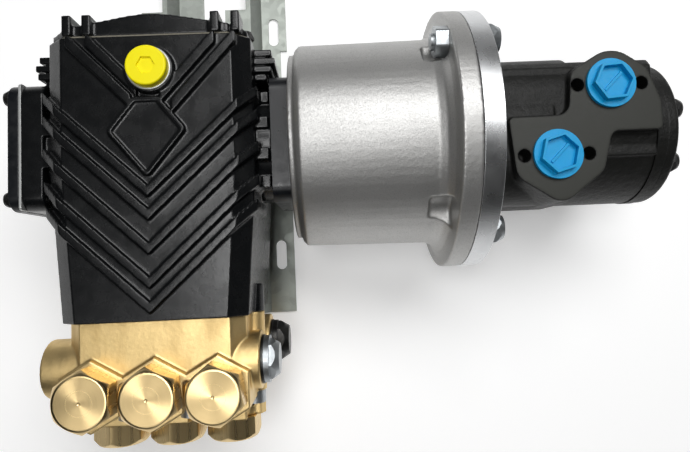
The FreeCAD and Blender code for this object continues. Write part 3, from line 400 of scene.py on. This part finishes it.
FINISHES = {
    "case_black": black_paint(),
    "cover_black": cover_paint(),
    "brass_cast": cast_brass(),
    "bell_cast": cast_aluminium(),
    "ring_turned": turned_ring(),
    "motor_black": motor_paint(),
    "cap_yellow": plastic("cap_yellow", (1.0, 0.87, 0.0), (0.97, 0.80, 0.0), 0.42),
    "plug_blue": plastic("plug_blue", (0.0, 0.33, 0.66), (0.0, 0.28, 0.59), 0.38),
    "zinc": plated_steel("zinc", (0.44, 0.465, 0.48), (0.30, 0.32, 0.33), 0.38),
    "black_steel": plated_steel("black_steel", (0.045, 0.045, 0.045), (0.09, 0.088, 0.08), 0.36),
    "rail_galvanised": galvanised_sheet(),
    "steel_ground": ground_steel(),
    "steel_forged": forged_steel(),
    "rod_alloy": rod_alloy(),
    "ceramic_white": ceramic(),
    "rubber_black": rubber(),
    "gasket_paper": gasket_paper(),
    "shim_grey": shim_metal(),
}
FINISHES["brass_turned"] = FINISHES["brass_cast"]


# ---------------------------------------------------------------- pieces made from CAD nodes
def slot_of(node):
    """The record's material slot of a node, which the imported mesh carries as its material."""
    return frame["nodes"][node]["slot_name"]


def add_object(name, data):
    piece = bpy.data.objects.new(name, data)
    bpy.context.scene.collection.objects.link(piece)
    return piece


def settle(piece):
    """Apply the piece's modifiers to its mesh."""
    bpy.context.view_layer.update()
    evaluated = piece.evaluated_get(bpy.context.evaluated_depsgraph_get())
    mesh = bpy.data.meshes.new_from_object(evaluated)
    old = piece.data
    piece.modifiers.clear()
    piece.data = mesh
    bpy.data.meshes.remove(old)


def welded_copy(node, name):
    """A new object with the node's mesh, its patches joined and its flat faces merged."""
    mesh = bmesh.new()
    mesh.from_mesh(frame["nodes"][node].data)
    bmesh.ops.remove_doubles(mesh, verts=mesh.verts, dist=WELD)
    bmesh.ops.dissolve_limit(mesh, angle_limit=FLAT_ANGLE, verts=mesh.verts, edges=mesh.edges)
    for face in mesh.faces:
        face.smooth = True
    data = bpy.data.meshes.new(name)
    mesh.to_mesh(data)
    mesh.free()
    return add_object(name, data)


def stand_for(piece, node, material=None):
    """Give a piece the finish of the node's slot and the node's body, and hide the node."""
    slot = slot_of(node)
    piece.data.materials.clear()
    piece.data.materials.append(material or FINISHES[slot])
    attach(piece, frame["nodes"][node]["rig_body"])
    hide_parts(node)
    return piece


def machined(node, edge):
    """A node with its sharp edges broken by a small round."""
    piece = welded_copy(node, node + "_finished")
    bevel = piece.modifiers.new("edges", "BEVEL")
    bevel.width = edge
    bevel.segments = BEVEL_SEGMENTS
    bevel.limit_method = "ANGLE"
    bevel.angle_limit = EDGE_ANGLE
    bevel.miter_outer = "MITER_ARC"
    piece.modifiers.new("normals", "WEIGHTED_NORMAL").weight = NORMAL_WEIGHT
    settle(piece)
    return stand_for(piece, node)


def casting(node, voxel, rounds, most_triangles):
    """A node with every edge and corner rounded as a casting's are."""
    piece = welded_copy(node, node + "_casting")
    remesh = piece.modifiers.new("voxels", "REMESH")
    remesh.mode = "VOXEL"
    remesh.voxel_size = voxel * VOXEL_FACTOR
    remesh.use_smooth_shade = True
    smooth = piece.modifiers.new("rounding", "SMOOTH")
    smooth.factor = SMOOTHING
    smooth.iterations = rounds
    settle(piece)
    triangles = len(piece.data.polygons) * 2
    if triangles > most_triangles:
        thin = piece.modifiers.new("thinning", "DECIMATE")
        thin.ratio = most_triangles / triangles
        settle(piece)
    piece.data.shade_smooth()
    return stand_for(piece, node)


# ---------------------------------------------------------------- valve caps
CAP_FLATS, CAP_FACE_R, CAP_NECK_R = 31.8 * MM, 15.4 * MM, 12.1 * MM
CAP_TIP_R = CAP_FLATS / math.sqrt(3)
CAP_CORNER_R = CAP_TIP_R - 0.15 * MM                          # the corners are turned off a little
CAP_CONE_BASE_R = CAP_TIP_R + 9.0 * MM
CAP_CONE_SLOPE = CAP_HEIGHT / (CAP_CONE_BASE_R - CAP_FACE_R)
CAP_EDGE, CAP_EDGE_RISE = 0.2 * MM, 0.08 * MM
CAP_CENTRE_R, CAP_CENTRE_DEPTH = 0.45 * MM, 0.3 * MM          # mark of the lathe's centre
CAP_FACE_RINGS = (1.0, 3.0, 6.0, 9.0, 12.0, 14.0)             # mm
CAP_STEPS = 144
CAP_TURN, CAP_TURN_STEP = math.radians(35), math.radians(4)
DELIVERY_NECK, SUCTION_NECK = 17.5 * MM, 6.0 * MM


def cap_side(angle, turn):
    """Distance from the cap's axis to its side, in a direction."""
    sixth = math.pi / 3
    from_flat = (angle - turn) % sixth - sixth / 2
    return min(CAP_FLATS / 2 / math.cos(from_flat), CAP_CORNER_R)


def cap_profile(side, neck):
    """(radius, height) from the centre of the face, over the edge and down to the neck's end."""
    shoulder = CAP_HEIGHT - (side - CAP_FACE_R) * CAP_CONE_SLOPE
    face = [(r * MM, CAP_HEIGHT) for r in CAP_FACE_RINGS]
    return [(CAP_CENTRE_R, CAP_HEIGHT - CAP_CENTRE_DEPTH)] + face + [
        (CAP_FACE_R - CAP_EDGE, CAP_HEIGHT), (CAP_FACE_R, CAP_HEIGHT - CAP_EDGE / 2),
        (side - CAP_EDGE, shoulder + CAP_EDGE_RISE), (side, shoulder - CAP_EDGE),
        (side, CAP_EDGE), (side - CAP_EDGE, 0.0), (CAP_NECK_R, 0.0), (CAP_NECK_R, -neck)]


def cap_mesh(name, turn, neck, to_place):
    """A hexagonal cap as a polar mesh, so that its turned face shades around its centre."""
    mesh = bmesh.new()
    rings = []
    for i in range(CAP_STEPS):
        angle = 2 * math.pi * i / CAP_STEPS
        profile = cap_profile(cap_side(angle, turn), neck)
        rings.append([mesh.verts.new((r * math.cos(angle), r * math.sin(angle), z))
                      for r, z in profile])
    for here, following in zip(rings, rings[1:] + rings[:1]):
        for k in range(len(here) - 1):
            mesh.faces.new((here[k], here[k + 1], following[k + 1], following[k]))
    mesh.faces.new([ring[0] for ring in rings])
    mesh.faces.new([ring[-1] for ring in reversed(rings)])
    bmesh.ops.recalc_face_normals(mesh, faces=mesh.faces)
    mesh.transform(to_place)
    data = bpy.data.meshes.new(name)
    mesh.to_mesh(data)
    mesh.free()
    data.shade_smooth()
    data.set_sharp_from_angle(angle=EDGE_ANGLE)
    return add_object(name, data)


def valve_caps():
    """Three caps on top and three in front, each with its own turned face."""
    for number in (1, 2, 3):
        over = centre_of("discharge_poppet_%d" % number)
        base = Vector((over.x, over.y, BOSS_TOP_Z))
        turn = CAP_TURN + CAP_TURN_STEP * (number - 2)
        cap = cap_mesh("delivery_cap_%d" % number, turn, DELIVERY_NECK, Matrix.Translation(base))
        stand_for(cap, "discharge_valve_caps",
                  turned_brass("delivery_cap_brass_%d" % number, base, "XY", "Z"))
        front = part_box("suction_valve_caps")[0].y + CAP_HEIGHT
        base = Vector((over.x, front, CRANK_AXIS.z))
        forward = Matrix.Translation(base) @ Matrix.Rotation(math.radians(90), 4, "X")
        cap = cap_mesh("suction_cap_%d" % number, CAP_TURN, SUCTION_NECK, forward)
        stand_for(cap, "suction_valve_caps",
                  turned_brass("suction_cap_brass_%d" % number, base, "XZ", "Y"))


# ---------------------------------------------------------------- valve springs
def valve_springs():
    """Coil springs copied from their CAD nodes."""
    for kind, along in (("suction", Vector((0, 1, 0))), ("discharge", Vector((0, 0, 1)))):
        for number in (1, 2, 3):
            node = "%s_spring_%d" % (kind, number)
            spring = stand_for(welded_copy(node, node + "_coil"), node)
            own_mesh(spring)


# ---------------------------------------------------------------- small added pieces
WASHER_R, WASHER_WIRE_R = 12.5 * MM, 0.8 * MM
WASHER_DROP = 0.6 * MM


def oil_cap_washer():
    """Pale sealing ring that shows under the filler cap."""
    cap = centre_of("oil_cap")
    bpy.ops.mesh.primitive_torus_add(major_radius=WASHER_R, minor_radius=WASHER_WIRE_R,
                                     major_segments=96, minor_segments=12,
                                     location=(cap.x, cap.y, CAP_WASHER_Z - WASHER_DROP))
    ring = bpy.context.object
    ring.name = "oil_cap_washer"
    ring.data.shade_smooth()
    ring.data.materials.append(FINISHES["shim_grey"])
    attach(ring, "housing")


# ---------------------------------------------------------------- build
CASTINGS = {
    # node: (voxel, smoothing rounds, most triangles)
    "crankcase": (0.6 * MM, 5, 195000),
    "rear_cover": (0.8 * MM, 3, 90000),
    "manifold": (0.6 * MM, 3, 170000),
    "bell_housing": (0.9 * MM, 3, 170000),
    "motor_body": (0.75 * MM, 3, 170000),
    "motor_end_cover": (0.7 * MM, 2, 60000),
}
MACHINED = {
    # node: edge round
    "left_bearing_cover": 0.9 * MM,
    "left_cover_shim": 0.12 * MM,
    "right_bearing_flange": 0.8 * MM,
    "adapter_ring": 0.7 * MM,
    "gerotor_ring": 0.3 * MM,
    "motor_port_plugs": 0.18 * MM,
    "oil_cap": 0.3 * MM,
    "outlet_port_plug": 0.3 * MM,
    "inlet_port_plug": 0.3 * MM,
    "port_plug_washers": 0.25 * MM,
    "cover_screws": 0.2 * MM,
    "manifold_bolts": 0.3 * MM,
    "flange_bolts": 0.25 * MM,
    "flange_nuts": 0.25 * MM,
    "end_cover_bolts": 0.2 * MM,
    "foot_bolts": 0.2 * MM,
    "drain_plug": 0.25 * MM,
    "base_rails": 0.5 * MM,
}


def finish_nodes():
    """Note each node's slot, then give every node its finish."""
    for node, cad in frame["nodes"].items():
        slot = cad.data.materials[0].name.split(".")[0]
        cad["slot_name"] = slot
        cad.data.materials[0] = FINISHES[slot]


finish_nodes()
for node_name, (voxel_size, smoothing, most_faces) in CASTINGS.items():
    casting(node_name, voxel_size, smoothing, most_faces)
for node_name, edge_round in MACHINED.items():
    machined(node_name, edge_round)
valve_caps()
valve_springs()
oil_cap_washer()


# ---------------------------------------------------------------- floor, light and camera
LAMPS = {
    # name: (place and aim from the pump's centre, size, watts)
    "back_softbox": ((0.45, 0.68, 1.38), (0.10, 0, 0), (1.3, 0.62), 17),
    "overhead_panel": ((-0.09, -0.02, 1.56), (0, 0, 0), (0.52, 0.38), 6.5),
    "front_panel": ((-0.24, -0.60, 1.30), (0, 0, 0), (0.95, 0.40), 2.1),
}
HORIZON, ZENITH = 0.42, 0.003                                # strength of the surroundings
FADE_END = 0.28                                              # how high up the pale part reaches
FLOOR_GLOW = 0.28                                            # the floor is a dim light table
FLOOR_SIZE, FLOOR_DROP = 30.0, 0.05 * MM
CAMERA_PLACE = Vector((0.107364, -0.080229, 0.372949))       # from the pump's centre
CAMERA_ROLL, CAMERA_TILT, CAMERA_SWING = 0.045, -0.067, 0.025
CAMERA_LENS, CAMERA_SENSOR = 28.23, 36.0                     # millimetres


def floor():
    bpy.ops.mesh.primitive_plane_add(size=FLOOR_SIZE, location=(0, 0, -FLOOR_DROP))
    plane = bpy.context.object
    plane.name = "floor"
    plane.data.materials.append(Finish("floor_white", (0.92, 0.92, 0.92), 0.8,
                                       Specular_IOR_Level=0.1, Emission_Color=(1, 1, 1, 1),
                                       Emission_Strength=FLOOR_GLOW).material)


def softbox(name, place, aim, size, power):
    """A rectangular lamp that faces a point near the pump."""
    lamp = bpy.data.lights.new(name, "AREA")
    lamp.shape = "RECTANGLE"
    lamp.size, lamp.size_y = size
    lamp.energy = power
    holder = bpy.data.objects.new(name, lamp)
    bpy.context.scene.collection.objects.link(holder)
    holder.location = PUMP_CENTRE + Vector(place)
    direction = Vector(aim) - Vector(place)
    holder.rotation_euler = direction.to_track_quat("-Z", "Y").to_euler()


def studio():
    """Pale low surroundings, dark overhead, a large lamp behind and panels above and in front."""
    world = bpy.data.worlds.new("studio")
    bpy.context.scene.world = world
    world.use_nodes = True
    tree = world.node_tree
    background = tree.nodes["Background"]
    background.inputs["Color"].default_value = (1, 1, 1, 1)
    direction = tree.nodes.new("ShaderNodeTexCoord").outputs["Generated"]
    parts = tree.nodes.new("ShaderNodeSeparateXYZ")
    tree.links.new(direction, parts.inputs["Vector"])
    fade = tree.nodes.new("ShaderNodeMapRange")
    tree.links.new(parts.outputs["Z"], fade.inputs["Value"])
    fade.inputs["From Min"].default_value = 0.0
    fade.inputs["From Max"].default_value = FADE_END
    fade.inputs["To Min"].default_value = HORIZON
    fade.inputs["To Max"].default_value = ZENITH
    tree.links.new(fade.outputs["Result"], background.inputs["Strength"])
    for name, (place, aim, size, power) in LAMPS.items():
        softbox(name, place, aim, size, power)


def camera():
    """Almost straight above, a little towards the manifold."""
    lens = bpy.data.cameras.new("camera")
    lens.sensor_width = CAMERA_SENSOR
    lens.lens = CAMERA_LENS
    lens.clip_start = 0.01
    holder = bpy.data.objects.new("camera", lens)
    bpy.context.scene.collection.objects.link(holder)
    world_to_camera = (Matrix.Rotation(CAMERA_ROLL, 3, "Z") @ Matrix.Rotation(CAMERA_TILT, 3, "X")
                       @ Matrix.Rotation(CAMERA_SWING, 3, "Y"))
    place = Matrix.Translation(PUMP_CENTRE + CAMERA_PLACE)
    holder.matrix_world = place @ world_to_camera.transposed().to_4x4()
    bpy.context.scene.camera = holder


floor()
studio()
camera()
bpy.context.scene.view_settings.view_transform = "Standard"
